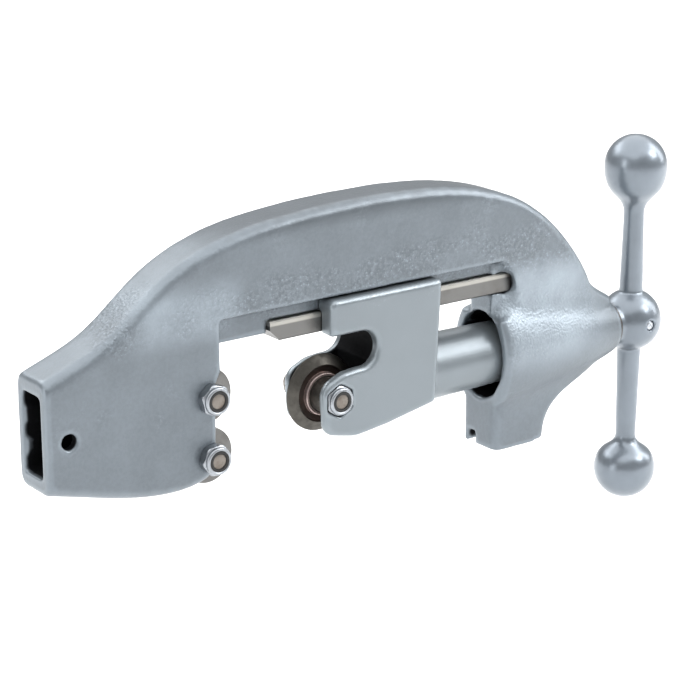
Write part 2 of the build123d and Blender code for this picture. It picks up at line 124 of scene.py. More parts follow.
class TurnedSizes(bpy.types.PropertyGroup):
    """Sizes of the turned and threaded pieces."""
    thread_pitch: metres("Thread pitch", "Lead of the feed thread", 5 * MM)
    thread_diameter: metres("Thread diameter", "Feed thread over its crests", 18.88 * MM)
    thread_depth: metres("Thread depth", "Depth of the feed thread", 2 * MM)
    collar_length: metres("Collar length", "Length of the screw's thrust collar", 3.5 * MM)
    journal_diameter: metres("Journal diameter", "Journal of the feed screw", 14 * MM)
    hub_diameter: metres("Hub diameter", "Hub of the cutter wheel", 16 * MM)
    ring_diameter: metres("Ring diameter", "Raised ring at the wheel's hub", 19.2 * MM)
    web_thickness: metres("Web thickness", "Flat part of the cutter wheel", 4.4 * MM)
    bevel_width: metres("Bevel width", "Ground bevel behind the cutting edge", 4.6 * MM)
    bolt_diameter: metres("Bolt diameter", "Bolts through wheel and rollers", 7.82 * MM)
    head_height: metres("Head height", "Height of the bolt heads", 5 * MM)
    ring_bore: metres("Nylon ring seat", "Seat of the nylon ring in a lock nut", 9.4 * MM)
    collar_height: metres("Nut collar height", "Round collar of a lock nut", 1.7 * MM)
    segments: IntProperty(name="Segments", description="Steps round a turned piece", default=144)


class Colours(bpy.types.PropertyGroup):
    """Base colours of the finishes."""
    frame_paint: tint("Frame paint", "Silver paint on the frame casting", (0.138, 0.160, 0.180))
    slide_paint: tint("Slide paint", "Silver paint on the slide", (0.176, 0.201, 0.219))
    handle_paint: tint("Handle paint", "Gloss silver on the handle", (0.178, 0.205, 0.234))
    bare_steel: tint("Bare steel", "Ground steel of rail and rollers", (0.152, 0.151, 0.147))
    tool_steel: tint("Tool steel", "Oiled steel of the cutter wheel", (0.088, 0.083, 0.074))
    bolt_steel: tint("Bolt steel", "Brownish steel of the bolts", (0.21, 0.19, 0.17))
    zinc: tint("Zinc", "Plating of the lock nuts", (0.33, 0.35, 0.375))
    nylon: tint("Nylon", "Locking rings", (0.012, 0.012, 0.012))
    washer: tint("Washer", "Oiled thrust washers", (0.10, 0.095, 0.09))
    # painted shade: near-black colour laid into sheltered hollows where shade falls
    painted_shade: tint("Painted Shade", "Painted shade in sheltered hollows", (0.010, 0.010, 0.011))


class Studio(bpy.types.PropertyGroup):
    """Camera, floor and lights."""
    azimuth: FloatProperty(
        name="Azimuth", description="Camera angle round the object", subtype="ANGLE",
        default=math.radians(36.5))
    elevation: FloatProperty(
        name="Elevation", description="Camera angle above the horizon", subtype="ANGLE",
        default=math.radians(17.62))
    distance: metres("Distance", "Camera to its aim", 0.9944)
    aim: FloatVectorProperty(
        name="Aim", description="Aim from the middle of the object's box", subtype="XYZ",
        default=(-0.01263, 0.0, 0.01602))
    lens: FloatProperty(name="Lens", description="Focal length in millimetres", default=116.1)
    floor_size: metres("Floor", "Side of the floor", 9.0)
    sky: FloatProperty(name="Sky", description="Strength of the pale surroundings", default=0.48)
    ceiling: watts("Ceiling", "wide ceiling light", 225.0)
    left: watts("Left", "tall left light", 4.5)
    back: watts("Back", "light behind", 5.0)
    front: watts("Front", "square front light", 6.5)
    right: watts("Right", "tall right light", 9.0)


# ---------------------------------------------------------------- node trees as Python expressions
def plug(tree, value, socket):
    """Links a signal to a socket, or sets the socket's value."""
    if isinstance(value, Signal):
        tree.links.new(value.socket, socket)
    else:
        socket.default_value = value


class Signal:
    """A node output that takes part in Python arithmetic: each operation adds its Math node."""

    def __init__(self, tree, socket):
        self.tree = tree
        self.socket = socket

    def math(self, operation, *values):
        node = self.tree.nodes.new("ShaderNodeMath")
        node.operation = operation
        for value, socket in zip(values, node.inputs):
            plug(self.tree, value, socket)
        return Signal(self.tree, node.outputs[0])

    def __add__(self, other):
        return self.math("ADD", self, other)

    def __radd__(self, other):
        return self.math("ADD", other, self)

    def __sub__(self, other):
        return self.math("SUBTRACT", self, other)

    def __rsub__(self, other):
        return self.math("SUBTRACT", other, self)

    def __mul__(self, other):
        return self.math("MULTIPLY", self, other)

    def __rmul__(self, other):
        return self.math("MULTIPLY", other, self)

    def __truediv__(self, other):
        return self.math("DIVIDE", self, other)

    def __rtruediv__(self, other):
        return self.math("DIVIDE", other, self)

    def __pow__(self, other):
        return self.math("POWER", self, other)

    def __abs__(self):
        return self.math("ABSOLUTE", self)

    def step(self, low, high):
        """0 below low, 1 above high, smooth between; high may be the lower one."""
        share = (self - low) / (high - low)
        share = share.math("MINIMUM", share.math("MAXIMUM", share, 0.0), 1.0)
        return share * share * (3.0 - 2.0 * share)


class Graph:
    """A node tree that is written as calls."""

    def __init__(self, tree):
        self.tree = tree

    def node(self, kind, settings=None, inputs=None, output=0):
        """Adds a node: its settings first, then the values or links of its sockets."""
        node = self.tree.nodes.new(kind)
        for key, value in (settings or {}).items():
            setattr(node, key, value)
        for key, value in (inputs or {}).items():
            plug(self.tree, value, node.inputs[key])
        return Signal(self.tree, node.outputs[output])

    def xyz(self, vector):
        """The three parts of a vector."""
        return [self.node("ShaderNodeSeparateXYZ", inputs={0: vector}, output=i) for i in range(3)]


class Finish(Graph):
    """A procedural material; keywords are values of the shader's own sockets."""

    def __init__(self, name, **uniform):
        self.material = bpy.data.materials.new(name)
        self.material.use_nodes = True
        super().__init__(self.material.node_tree)
        self.shader = self.tree.nodes["Principled BSDF"]
        for key, value in uniform.items():
            self.shader.inputs[key.replace("_", " ")].default_value = value
        self.place = self.node("ShaderNodeTexCoord", output="Object")

    def grain(self, scale, detail=2.0, roughness=0.5):
        """Noise over the surface; scale is in features per metre."""
        inputs = {"Vector": self.place, "Scale": scale, "Detail": detail, "Roughness": roughness}
        return self.node("ShaderNodeTexNoise", inputs=inputs)

    def lines(self, along, scale):
        """Noise that changes along one value only, as tool marks do."""
        inputs = {"W": along * scale, "Scale": 1.0, "Detail": 3.0}
        return self.node("ShaderNodeTexNoise", {"noise_dimensions": "1D"}, inputs)

    def spots(self, scale):
        """Distance to scattered points, 0 at each point."""
        return self.node("ShaderNodeTexVoronoi", inputs={"Vector": self.place, "Scale": scale})

    def mark(self, name):
        """A value stored on the mesh."""
        return self.node("ShaderNodeAttribute", {"attribute_name": name}, output="Fac")

    def blend(self, factor, first, second):
        """Colour between first and second."""
        colours = [c if isinstance(c, Signal) else (*c, 1.0) for c in (first, second)]
        inputs = {0: factor, 6: colours[0], 7: colours[1]}
        return self.node("ShaderNodeMix", {"data_type": "RGBA"}, inputs, output=2)

    def radius(self, centre, axis):
        """Distance from a line through centre along axis, and the place along that line."""
        parts = self.xyz(self.place)
        along = parts.pop(axis)
        near = [part - centre[i] for part, i in zip(parts, [i for i in range(3) if i != axis])]
        return (near[0] * near[0] + near[1] * near[1]) ** 0.5, along

    def feed(self, colour, roughness, height=None, depth=0.1 * MM, strength=1.0):
        """Connects what changes over the surface and returns the material."""
        plug(self.tree, colour, self.shader.inputs["Base Color"])
        plug(self.tree, roughness, self.shader.inputs["Roughness"])
        if height is not None:
            inputs = {"Height": height, "Distance": depth, "Strength": strength}
            plug(self.tree, self.node("ShaderNodeBump", inputs=inputs), self.shader.inputs["Normal"])
        return self.material


def shade(colour, factor):
    """A colour made lighter or darker."""
    return tuple(min(part * factor, 1.0) for part in colour)


# ---------------------------------------------------------------- finishes
def frame_hollow_shade(finish, shelter):
    """Painted shade inside the frame: near black where walls close in, in the socket, the roller slot and
    the sleeve's oval hollow.
    """
    x, y, z = finish.xyz(finish.place)
    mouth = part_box("slide_housing")[1].x - 14.8 * MM
    depth, half_width, half_height = 33 * MM, 15.4 * MM, 20.8 * MM
    across, high = y / half_width, (z - FEED.z) / half_height
    oval = (across * across + high * high).step(1.07, 1.02)
    inside = oval * x.step(mouth + 0.2 * MM, mouth + 1.2 * MM)
    inside = inside * x.step(mouth + depth, mouth + depth - 4 * MM)
    # painted shade: darkest where the shelter measure is high and deep inside the sleeve's oval hollow
    return shelter.math("MAXIMUM", shelter.step(0.28, 0.56), inside * shelter.step(0.04, 0.20))


def slide_hollow_shade(finish, shelter):
    """Painted shade inside the slide, between its cheeks and behind the notch."""
    x, y, _ = finish.xyz(finish.place)
    inner_wall, sleeve_start = 12.0 * MM, WHEEL.x + 52 * MM
    inside = abs(y).step(inner_wall, inner_wall - 0.6 * MM) * x.step(sleeve_start, sleeve_start - 2 * MM)
    # painted shade: sheltered faces between the cheeks go near black
    return shelter.step(0.03, 0.14) * inside


def casting_regions(finish):
    """Places where the paint changes: along the core's side and over the boss the grain is coarser, the
    boss and the left shoulder carry painted light and the crown painted shade.
    """
    x, _, z = finish.xyz(finish.place)
    core = abs(z - (RAIL_END.z + 11.75 * MM)).step(17 * MM, 4 * MM)
    boss = x.step(RAIL_END.x - 18 * MM, RAIL_END.x - 1 * MM) * z.step(FEED.z + 50 * MM, FEED.z + 32 * MM)
    boss = boss * z.step(FEED.z - 12 * MM, FEED.z + 12 * MM)
    boss = boss * x.step(FRAME_END.x + 0.5 * MM, FRAME_END.x - 43.5 * MM)
    shoulder = core * x.step(RAIL_START.x - 11 * MM, RAIL_START.x - 31 * MM) * x.step(30 * MM, 55 * MM)
    crown = z.step(FRAME_END.z - 11.5 * MM, FRAME_END.z - 4.5 * MM)
    return core, boss, shoulder, crown


def cast_paint(name, colour, pebble, gloss, hollow):
    """Silver paint over a casting: pebbled grain, painted highlights on edges and pebbles, painted light on
    the boss and shoulder, painted shade on the crown and near-black painted shade in the hollows.
    """
    finish = Finish(name, IOR=1.5, Coat_Roughness=0.35)
    core, boss, shoulder, crown = casting_regions(finish)
    cloud = finish.grain(38.0, 3.0).step(0.30, 0.70)
    rough_sand = finish.grain(620.0, 3.0, 0.62)
    fine_sand = finish.grain(2400.0, 2.0, 0.6)
    beads = 1.0 - finish.spots(780.0)
    patch = (finish.grain(52.0, 2.0) * 0.9 + core * 0.32 + boss * 0.42).step(0.52, 0.86) * pebble
    painted_glint = (beads * 0.5 + rough_sand * 0.6).step(0.62, 0.82) * patch
    edge = finish.mark("edge")
    shelter = finish.mark("shelter")
    sand = rough_sand.step(0.34, 0.66) - 0.5
    blotch = 0.5 + (cloud - 0.5) * 0.4 + sand * (patch * 0.75 + 0.28 * pebble)
    tone = finish.blend(blotch, shade(colour, 1.0 - 0.16 * pebble), shade(colour, 1.04 + 0.13 * pebble))
    # painted light: the boss and the left shoulder lightened where light falls on them
    pale = boss.math("MAXIMUM", boss * 0.85, shoulder * 0.52) * pebble
    tone = finish.blend(pale * (0.62 + 0.38 * cloud), tone, shade(colour, 2.5))
    # painted shade: the crown of the arch darkened
    tone = finish.blend(crown * pebble * 0.7, tone, shade(colour, 0.55))
    # painted highlight: bright glints on the pebbles in the coarse patches
    tone = finish.blend(painted_glint * 0.5, tone, shade(colour, 2.2))
    # painted highlight: outer edges lightened
    tone = finish.blend(edge * 0.40, tone, shade(colour, 1.6))
    # painted shade: sheltered hollows turned near black, fully metallic and without coat so that no sheen
    # shows
    dark = hollow(finish, shelter)
    tone = finish.blend(dark * 0.98, tone, bpy.context.scene.cutter_colours.painted_shade)
    plug(finish.tree, 0.55 + dark * 0.45, finish.shader.inputs["Metallic"])
    plug(finish.tree, 0.12 - dark * 0.12, finish.shader.inputs["Coat Weight"])
    roughness = gloss + rough_sand * 0.14 - edge * 0.08 + dark * 0.40 - painted_glint * 0.08
    height = rough_sand * (0.5 * pebble + patch * 0.9) + beads * patch * 0.6 + fine_sand * 0.12
    return finish.feed(tone, roughness, height, 0.35 * MM, 0.8)


def handle_gloss(name, colour):
    """Glossy silver over a smooth forging, with painted highlights on its edges and painted shade where it
    is sheltered.
    """
    finish = Finish(name, Metallic=0.70, IOR=1.5, Coat_Weight=0.25, Coat_Roughness=0.16)
    cloud = finish.grain(60.0, 3.0).step(0.3, 0.7)
    skin = finish.grain(340.0, 2.0)
    dust = finish.grain(2600.0, 2.0)
    edge = finish.mark("edge")
    shelter = finish.mark("shelter")
    tone = finish.blend(cloud, shade(colour, 0.95), shade(colour, 1.05))
    # painted highlight: edges lightened
    tone = finish.blend(edge * 0.25, tone, shade(colour, 1.3))
    # painted shade: sheltered places darkened
    tone = finish.blend(shelter.step(0.35, 0.95) * 0.8, tone, shade(colour, 0.12))
    return finish.feed(tone, 0.27 + skin * 0.12 + shelter * 0.2, skin * 0.8 + dust * 0.15, 0.10 * MM, 0.5)


def ground_steel(name, colour, top):
    """Bare steel ground along its length, with a few stains and a painted highlight band under its top."""
    finish = Finish(name, Metallic=0.95)
    _, y, z = finish.xyz(finish.place)
    scratch = finish.lines(z + y * 0.7, 5200.0)
    stain = finish.grain(90.0, 4.0).step(0.45, 0.75)
    tone = finish.blend(scratch, shade(colour, 0.85), shade(colour, 1.12))
    tone = finish.blend(stain * 0.45, tone, (colour[0] * 0.62, colour[1] * 0.56, colour[2] * 0.48))
    # painted highlight: a bright band just under the top, where light catches the rail
    top_highlight = z.step(top - 2.5 * MM, top - 1.7 * MM)
    tone = finish.blend(top_highlight * 0.8, tone, (0.40, 0.39, 0.36))
    return finish.feed(tone, 0.30 + scratch * 0.16 + stain * 0.10, scratch, 0.02 * MM, 0.5)


def turned_steel(name, colour, centre, axis, gloss, film):
    """Turned steel with fine rings round an axis and a film of oil or oxide."""
    finish = Finish(name, Metallic=0.95)
    radius, along = finish.radius(centre, axis)
    rings = finish.lines(radius + along, 6500.0)
    stain = finish.grain(210.0, 4.0, 0.6).step(0.40, 0.72)
    tone = finish.blend(rings, shade(colour, 0.80), shade(colour, 1.15))
    tone = finish.blend(stain * film, tone, (colour[0] * 0.55, colour[1] * 0.48, colour[2] * 0.42))
    return finish.feed(tone, gloss + rings * 0.14 + stain * 0.12, rings, 0.02 * MM, 0.55)


def wheel_steel(name, colour, sizes):
    """Oiled cutter wheel: brown web, a painted highlight on the raised ring at the hub and a grey ground
    bevel.
    """
    finish = Finish(name, Metallic=0.9)
    radius, along = finish.radius(WHEEL, 1)
    rings = finish.lines(radius + along, 6500.0)
    stain = finish.grain(260.0, 4.0, 0.6).step(0.35, 0.70)
    ring = sizes.ring_diameter / 2
    raised = radius.step(ring - 1.5 * MM, ring - 1.1 * MM) * radius.step(ring + 0.4 * MM, ring + 0.1 * MM)
    web = radius.step(ring, ring + 0.3 * MM) * radius.step(ring + 3.4 * MM, ring + 2.6 * MM)
    tone = finish.blend(rings, shade(colour, 0.80), shade(colour, 1.18))
    tone = finish.blend(web * 0.85, tone, (colour[0] * 0.62, colour[1] * 0.42, colour[2] * 0.40))
    # painted highlight: pinkish light on the raised ring
    tone = finish.blend(raised, tone, (0.46, 0.37, 0.35))
    tone = finish.blend(stain * 0.5, tone, shade(colour, 0.5))
    return finish.feed(tone, 0.30 + rings * 0.14 + stain * 0.15, rings, 0.02 * MM, 0.55)


def zinc_plate(name, colour):
    """Bright zinc plating with faint clouds and small scuffs."""
    finish = Finish(name, Metallic=1.0)
    cloud = finish.grain(420.0, 3.0).step(0.35, 0.7)
    scuff = finish.grain(1500.0, 3.0, 0.7).step(0.58, 0.72)
    tone = finish.blend(cloud, shade(colour, 0.90), shade(colour, 1.08))
    tone = finish.blend(scuff * 0.3, tone, shade(colour, 0.6))
    return finish.feed(tone, 0.32 + cloud * 0.10 + scuff * 0.2, cloud + scuff * 0.4, 0.03 * MM, 0.4)


def nylon(name, colour):
    """Black nylon with a dull moulded skin."""
    finish = Finish(name, Metallic=0.0, Specular_IOR_Level=0.35)
    skin = finish.grain(1800.0, 3.0)
    tone = finish.blend(skin, shade(colour, 0.8), shade(colour, 1.6))
    return finish.feed(tone, 0.42 + skin * 0.2, skin, 0.03 * MM, 0.5)


def floor_paper(name):
    """Pale seamless paper."""
    finish = Finish(name, Specular_IOR_Level=0.0)
    fibre = finish.grain(900.0, 3.0)
    tone = finish.blend(fibre, (0.90, 0.90, 0.90), (0.94, 0.94, 0.94))
    return finish.feed(tone, 0.85 + fibre * 0.1)


# ---------------------------------------------------------------- mesh helpers
def placed(name, data):
    """New object in the scene."""
    item = bpy.data.objects.new(name, data)
    bpy.context.scene.collection.objects.link(item)
    return item


def add_piece(name, mesh, body, stands_for, material=None):
    """Puts a finished mesh in the scene as a piece of the cutter."""
    piece = placed(name, mesh)
    if material:
        mesh.materials.clear()
        mesh.materials.append(material)
    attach(piece, body)
    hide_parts(*stands_for)


def repaint(node, material):
    """Gives a CAD node its finish."""
    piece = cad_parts[node]
    if not piece.material_slots:
        piece.data.materials.append(material)
    for slot in piece.material_slots:
        slot.material = material


def evaluated_mesh(piece, name):
    """Plain mesh of an object with its modifiers applied; the object is removed."""
    graph = bpy.context.evaluated_depsgraph_get()
    mesh = bpy.data.meshes.new_from_object(piece.evaluated_get(graph))
    mesh.name = name
    piece.modifiers.clear()
    bpy.data.objects.remove(piece)
    return mesh


def modified(mesh, name, *steps):
    """Mesh after modifiers, each given as (type, settings)."""
    piece = placed(name, mesh)
    for kind, settings in steps:
        modifier = piece.modifiers.new(kind, kind)
        for key, value in settings.items():
            setattr(modifier, key, value)
    return evaluated_mesh(piece, name)


def merged_copy(node):
    """Copy of a CAD node's mesh with its loose triangles joined."""
    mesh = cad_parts[node].data.copy()
    shape = bmesh.new()
    shape.from_mesh(mesh)
    bmesh.ops.remove_doubles(shape, verts=shape.verts, dist=0.002 * MM)
    shape.to_mesh(mesh)
    shape.free()
    return mesh


def rows(elements, value, kind, length=3):
    """One value of a mesh's elements as the rows of an array."""
    numbers = np.empty(len(elements) * length, kind)
    elements.foreach_get(value, numbers)
    return numbers.reshape(-1, length)


def points_of(mesh):
    """Vertex places as an array."""
    return rows(mesh.vertices, "co", float)


def normals_of(mesh):
    """Vertex normals as an array."""
    return rows(mesh.vertex_normals, "vector", np.float32).astype(float)


def store(mesh, name, values):
    """Stores a value for each vertex."""
    layer = mesh.attributes.new(name, "FLOAT", "POINT")
    layer.data.foreach_set("value", np.asarray(values, np.float32))


def neighbours(mesh):
    """Both ends of every edge."""
    return rows(mesh.edges, "vertices", np.int32, 2).T


def spread(values, ends, count, rounds):
    """Averages a vertex value with its neighbours a few times."""
    a, b = ends
    number = np.bincount(a, minlength=count) + np.bincount(b, minlength=count) + 1
    for _ in range(rounds):
        total = np.bincount(a, values[b], count) + np.bincount(b, values[a], count)
        values = (values + total) / number
    return values


def curvature(mesh):
    """Mean bend of the skin at each vertex per metre: above 0 on outer edges, below 0 in creases."""
    places, normals, count = points_of(mesh), normals_of(mesh), len(mesh.vertices)
    a, b = neighbours(mesh)
    run = places[b] - places[a]
    bend = ((normals[b] - normals[a]) * run).sum(1) / np.maximum((run * run).sum(1), 1e-12)
    number = np.bincount(a, minlength=count) + np.bincount(b, minlength=count)
    curve = (np.bincount(a, bend, count) + np.bincount(b, bend, count)) / np.maximum(number, 1)
    return spread(curve, (a, b), count, 3)


def edge_highlight(mesh, flat, sharp):
    """Mask for painted edge highlights: 0 on flat faces, 1 on outer edges; flat and sharp are curvatures
    per metre.
    """
    return np.clip((curvature(mesh) - flat) / (sharp - flat), 0, 1)


def melt_creases(mesh, region, sharp, reach, rounds):
    """Widens the concave creases inside a region into the soft blends of a casting."""
    count, ends = len(mesh.vertices), neighbours(mesh)
    places = points_of(mesh)
    crease = (curvature(mesh) < -sharp) * region(places)
    weight = np.clip(spread(crease.astype(float), ends, count, reach) * 6.0, 0, 1)
    for _ in range(rounds):
        average = np.stack([spread(places[:, i], ends, count, 1) for i in range(3)], 1)
        places += (average - places) * weight[:, None]
    mesh.vertices.foreach_set("co", places.ravel())
    mesh.update()


def sphere_rays(count):
    """Directions spread evenly over a sphere."""
    turn = math.pi * (3 - math.sqrt(5))
    for i in range(count):
        z = 1 - (2 * i + 1) / count
        ring = math.sqrt(1 - z * z)
        yield Vector((ring * math.cos(turn * i), ring * math.sin(turn * i), z))


def shelter(mesh, reach, rays=26, grazing=0.12):
    """Share of the outlook from each vertex that a wall closes within reach; grazing rays don't count."""
    tree = BVHTree.FromPolygons([v.co for v in mesh.vertices], [p.vertices for p in mesh.polygons])
    directions = list(sphere_rays(rays))
    values = []
    for vertex, normal in zip(mesh.vertices, normals_of(mesh)):
        up = Vector(normal)
        start = vertex.co + up * 0.3 * MM
        seen = closed = 0.0
        for direction in directions:
            tilt = direction.dot(up)
            if tilt > grazing:
                seen += tilt
                hit = tree.ray_cast(start, direction, reach)
                closed += tilt if hit[0] is not None else 0.0
        values.append(closed / max(seen, 0.1))
    a, b = neighbours(mesh)
    return spread(np.array(values), (a, b), len(values), 2)


def ripple(mesh, height, length, cover):
    """Low waves over the outer skin; cover gives their share at a place, 0 where a face is machined."""
    normals = normals_of(mesh)
    for vertex, normal in zip(mesh.vertices, normals):
        share = cover(vertex.co)
        if share > 0:
            place = vertex.co / length
            wave = noise.noise(place) + 0.45 * noise.noise(place * 2.7 + Vector((5, 3, 1)))
            vertex.co += Vector(normal) * wave * height * share


def skin(node, name, grain, passes, share, wave, melt=None):
    """Cast or forged skin over a CAD node: soft edges, low waves and an even mesh."""
    mesh = modified(
        merged_copy(node), name,
        ("REMESH", {"mode": "VOXEL", "voxel_size": grain, "use_smooth_shade": True}),
        ("SMOOTH", {"factor": 0.5, "iterations": passes}),
    )
    if melt:
        melt_creases(mesh, **melt)
    ripple(mesh, **wave)
    mesh = modified(mesh, name, ("DECIMATE", {"ratio": share}))
    mesh.shade_smooth()
    return mesh


def lathe(name, profile, centre, axis, segments, across=None):
    """Closed loop of (radius, distance) turned about an axis; across cuts hexagon flats."""
    angles = [2 * math.pi * i / segments for i in range(segments)]
    sixth = math.pi / 3
    first, second = [(1, 2), (2, 0), (0, 1)][axis]
    shape = bmesh.new()
    rings = []
    for radius, distance in profile:
        ring = []
        for angle in angles:
            reach = radius
            if across:
                reach = min(radius, across / 2 / math.cos((angle + sixth / 2) % sixth - sixth / 2))
            place = Vector(centre)
            place[axis] += distance
            place[first] += reach * math.cos(angle)
            place[second] += reach * math.sin(angle)
            ring.append(shape.verts.new(place))
        rings.append(ring)
    for ring, following in zip(rings, rings[1:] + rings[:1]):
        for i in range(segments):
            j = (i + 1) % segments
            shape.faces.new((ring[i], ring[j], following[j], following[i]))
    bmesh.ops.remove_doubles(shape, verts=shape.verts, dist=0.001 * MM)
    bmesh.ops.recalc_face_normals(shape, faces=shape.faces)
    mesh = bpy.data.meshes.new(name)
    shape.to_mesh(mesh)
    shape.free()
    mesh.shade_smooth()
    mesh.set_sharp_from_angle(angle=math.radians(32))
    return mesh


def shares(steps):
    """Even steps from 0 to 1."""
    return [i / steps for i in range(steps + 1)]


def rounded(start, corner, end, radius, steps=4):
    """Points of a small round at a corner of a profile."""
    corner = Vector(corner)
    towards = [(Vector(point) - corner).normalized() * radius for point in (start, end)]
    first, last = corner + towards[0], corner + towards[1]
    curve = [first * (1 - t) ** 2 + corner * 2 * t * (1 - t) + last * t * t for t in shares(steps)]
    return [tuple(point) for point in curve]


def softened(profile, radii):
    """Profile with some corners rounded: radii maps a point's number to a radius."""
    points = []
    for i, corner in enumerate(profile):
        if i in radii:
            before, after = profile[i - 1], profile[(i + 1) % len(profile)]
            points += rounded(before, corner, after, radii[i])
        else:
            points.append(corner)
    return points


# ---------------------------------------------------------------- geometry node trees
def geometry_tree(name, inputs):
    """Empty geometry tree with named inputs; returns its graph and its inputs as signals."""
    tree = bpy.data.node_groups.new(name, "GeometryNodeTree")
    tree.interface.new_socket("Geometry", in_out="INPUT", socket_type="NodeSocketGeometry")
    for label, kind in inputs:
        tree.interface.new_socket(label, in_out="INPUT", socket_type=kind)
    tree.interface.new_socket("Geometry", in_out="OUTPUT", socket_type="NodeSocketGeometry")
    entry = tree.nodes.new("NodeGroupInput")
    return Graph(tree), {socket.name: Signal(tree, socket) for socket in entry.outputs if socket.name}


def close_tree(graph, geometry, material):
    """Ends a tree with Realize Instances and Set Material."""
    real = graph.node("GeometryNodeRealizeInstances", inputs={"Geometry": geometry})
    painted = graph.node("GeometryNodeSetMaterial", inputs={"Geometry": real, "Material": material})
    out = graph.tree.nodes.new("NodeGroupOutput")
    graph.tree.links.new(painted.socket, out.inputs["Geometry"])


def grown(name, mesh, tree, values):
    """Plain mesh that a geometry tree makes from a mesh; values are given by input name."""
    piece = placed(name, mesh)
    modifier = piece.modifiers.new("Growth", "NODES")
    modifier.node_group = tree
    for item in tree.interface.items_tree:
        if item.item_type == "SOCKET" and item.in_out == "INPUT" and item.name in values:
            modifier[item.identifier] = values[item.name]
    return evaluated_mesh(piece, name)


def thread_tree():
    """Trapezoidal left-hand thread along +X."""
    sizes = ("Start", "Length", "Pitch", "Crest", "Depth", "Axis Z")
    labels = [(label, "NodeSocketFloat") for label in sizes]
    labels += [("Around", "NodeSocketInt"), ("Material", "NodeSocketMaterial")]
    graph, given = geometry_tree("Feed Thread", labels)
    steps_per_turn = 16.0
    rod = graph.node("GeometryNodeMeshCylinder", {"fill_type": "NGON"}, {
        "Vertices": given["Around"], "Side Segments": given["Length"] / given["Pitch"] * steps_per_turn,
        "Radius": given["Crest"], "Depth": given["Length"]})
    x, y, z = graph.xyz(graph.node("GeometryNodeInputPosition"))
    along = z + given["Length"] / 2.0
    angle = y.math("ARCTAN2", y, x)
    turns = along / given["Pitch"] + angle / (2 * math.pi)
    slope = abs(turns.math("FRACT", turns) * 2.0 - 1.0)
    flank = slope.step(0.36, 0.62)
    run_in = along.step(0.0, 1.8 * MM)
    radius = given["Crest"] - given["Depth"] * (1.0 - flank * run_in)
    place = graph.node("ShaderNodeCombineXYZ", inputs={
        0: given["Start"] + along, 1: radius * angle.math("COSINE", angle),
        2: given["Axis Z"] + radius * angle.math("SINE", angle)})
    thread = graph.node("GeometryNodeSetPosition", inputs={"Geometry": rod, "Position": place})
    close_tree(graph, thread, given["Material"])
    return graph.tree


def fastener_tree():
    """Puts a copy of a fastener at each point, turned by the point's own angle."""
    graph, given = geometry_tree("Fastener Set", [
        ("Fastener", "NodeSocketObject"), ("Material", "NodeSocketMaterial")])
    template = graph.node("GeometryNodeObjectInfo", inputs={"Object": given["Fastener"]}, output="Geometry")
    turn = graph.node("GeometryNodeInputNamedAttribute", {"data_type": "FLOAT"}, {"Name": "turn"})
    rotation = graph.node("ShaderNodeCombineXYZ", inputs={1: turn})
    points = graph.node("GeometryNodeMeshToPoints", inputs={"Mesh": given["Geometry"]})
    copies = graph.node("GeometryNodeInstanceOnPoints", inputs={
        "Points": points, "Instance": template, "Rotation": rotation})
    close_tree(graph, copies, given["Material"])
    return graph.tree


def fastener_set(name, template_mesh, places, turns, material):
    """One mesh with the same fastener at several places."""
    template = placed(f"{name}_template", template_mesh)
    host = bpy.data.meshes.new(name)
    host.from_pydata([tuple(place) for place in places], [], [])
    store(host, "turn", turns)
    mesh = grown(name, host, fastener_tree(), {"Fastener": template, "Material": material})
    bpy.data.objects.remove(template)
    return mesh


# ---------------------------------------------------------------- pieces
def outer_skin(half):
    """Share of casting waves at a place: none inside the machined middle or at the mating faces."""
    def share(place):
        side = min(max((abs(place.y) - half) / (2 * MM), 0), 1)
        top = min(max((place.z - RAIL_END.z - 20.75 * MM) / (6 * MM), 0), 1)
        return max(side, top)
    return share


def boss_skin(places):
    """Outside of the boss and its web, clear of the leg's front face and of the sleeve's hollow."""
    beyond = places[:, 0] > RAIL_END.x - 9 * MM
    return beyond * (np.hypot(places[:, 1], places[:, 2] - FEED.z) > 17 * MM) * (abs(places[:, 1]) > 8 * MM)


class CUTTER_OT_frame_casting(bpy.types.Operator):
    """Casts the C-shaped frame with its pebbled silver paint"""
    bl_idname = "cutter.frame_casting"
    bl_label = "Frame Casting"

    def execute(self, context):
        sizes, colours = context.scene.cutter_castings, context.scene.cutter_colours
        wave = {"height": sizes.frame_ripple, "length": sizes.ripple_length, "cover": outer_skin(9.4 * MM)}
        melt = {"region": boss_skin, "sharp": 25.0, "reach": 9, "rounds": 90}
        mesh = skin("frame", "frame_casting", sizes.frame_grain, passes=5, share=0.52, wave=wave, melt=melt)
        store(mesh, "edge", edge_highlight(mesh, flat=55.0, sharp=115.0))
        store(mesh, "shelter", shelter(mesh, sizes.shelter_reach))
        paint = cast_paint("frame_paint", colours.frame_paint, pebble=1.0, gloss=0.36, hollow=frame_hollow_shade)
        add_piece("frame_casting", mesh, "frame_body", ["frame"], paint)
        return {"FINISHED"}


class CUTTER_OT_slide_casting(bpy.types.Operator):
    """Casts the slide that carries the cutter wheel, with its sleeve"""
    bl_idname = "cutter.slide_casting"
    bl_label = "Slide Casting"

    def execute(self, context):
        sizes, colours = context.scene.cutter_castings, context.scene.cutter_colours
        wave = {"height": sizes.slide_ripple, "length": sizes.ripple_length, "cover": outer_skin(13 * MM)}
        mesh = skin("slide_housing", "slide_casting", sizes.slide_grain, passes=3, share=0.6, wave=wave)
        store(mesh, "edge", edge_highlight(mesh, flat=60.0, sharp=240.0))
        store(mesh, "shelter", shelter(mesh, sizes.shelter_reach))
        paint = cast_paint("slide_paint", colours.slide_paint, pebble=0.25, gloss=0.31, hollow=slide_hollow_shade)
        add_piece("slide_casting", mesh, "slide_body", ["slide_housing"], paint)
        return {"FINISHED"}


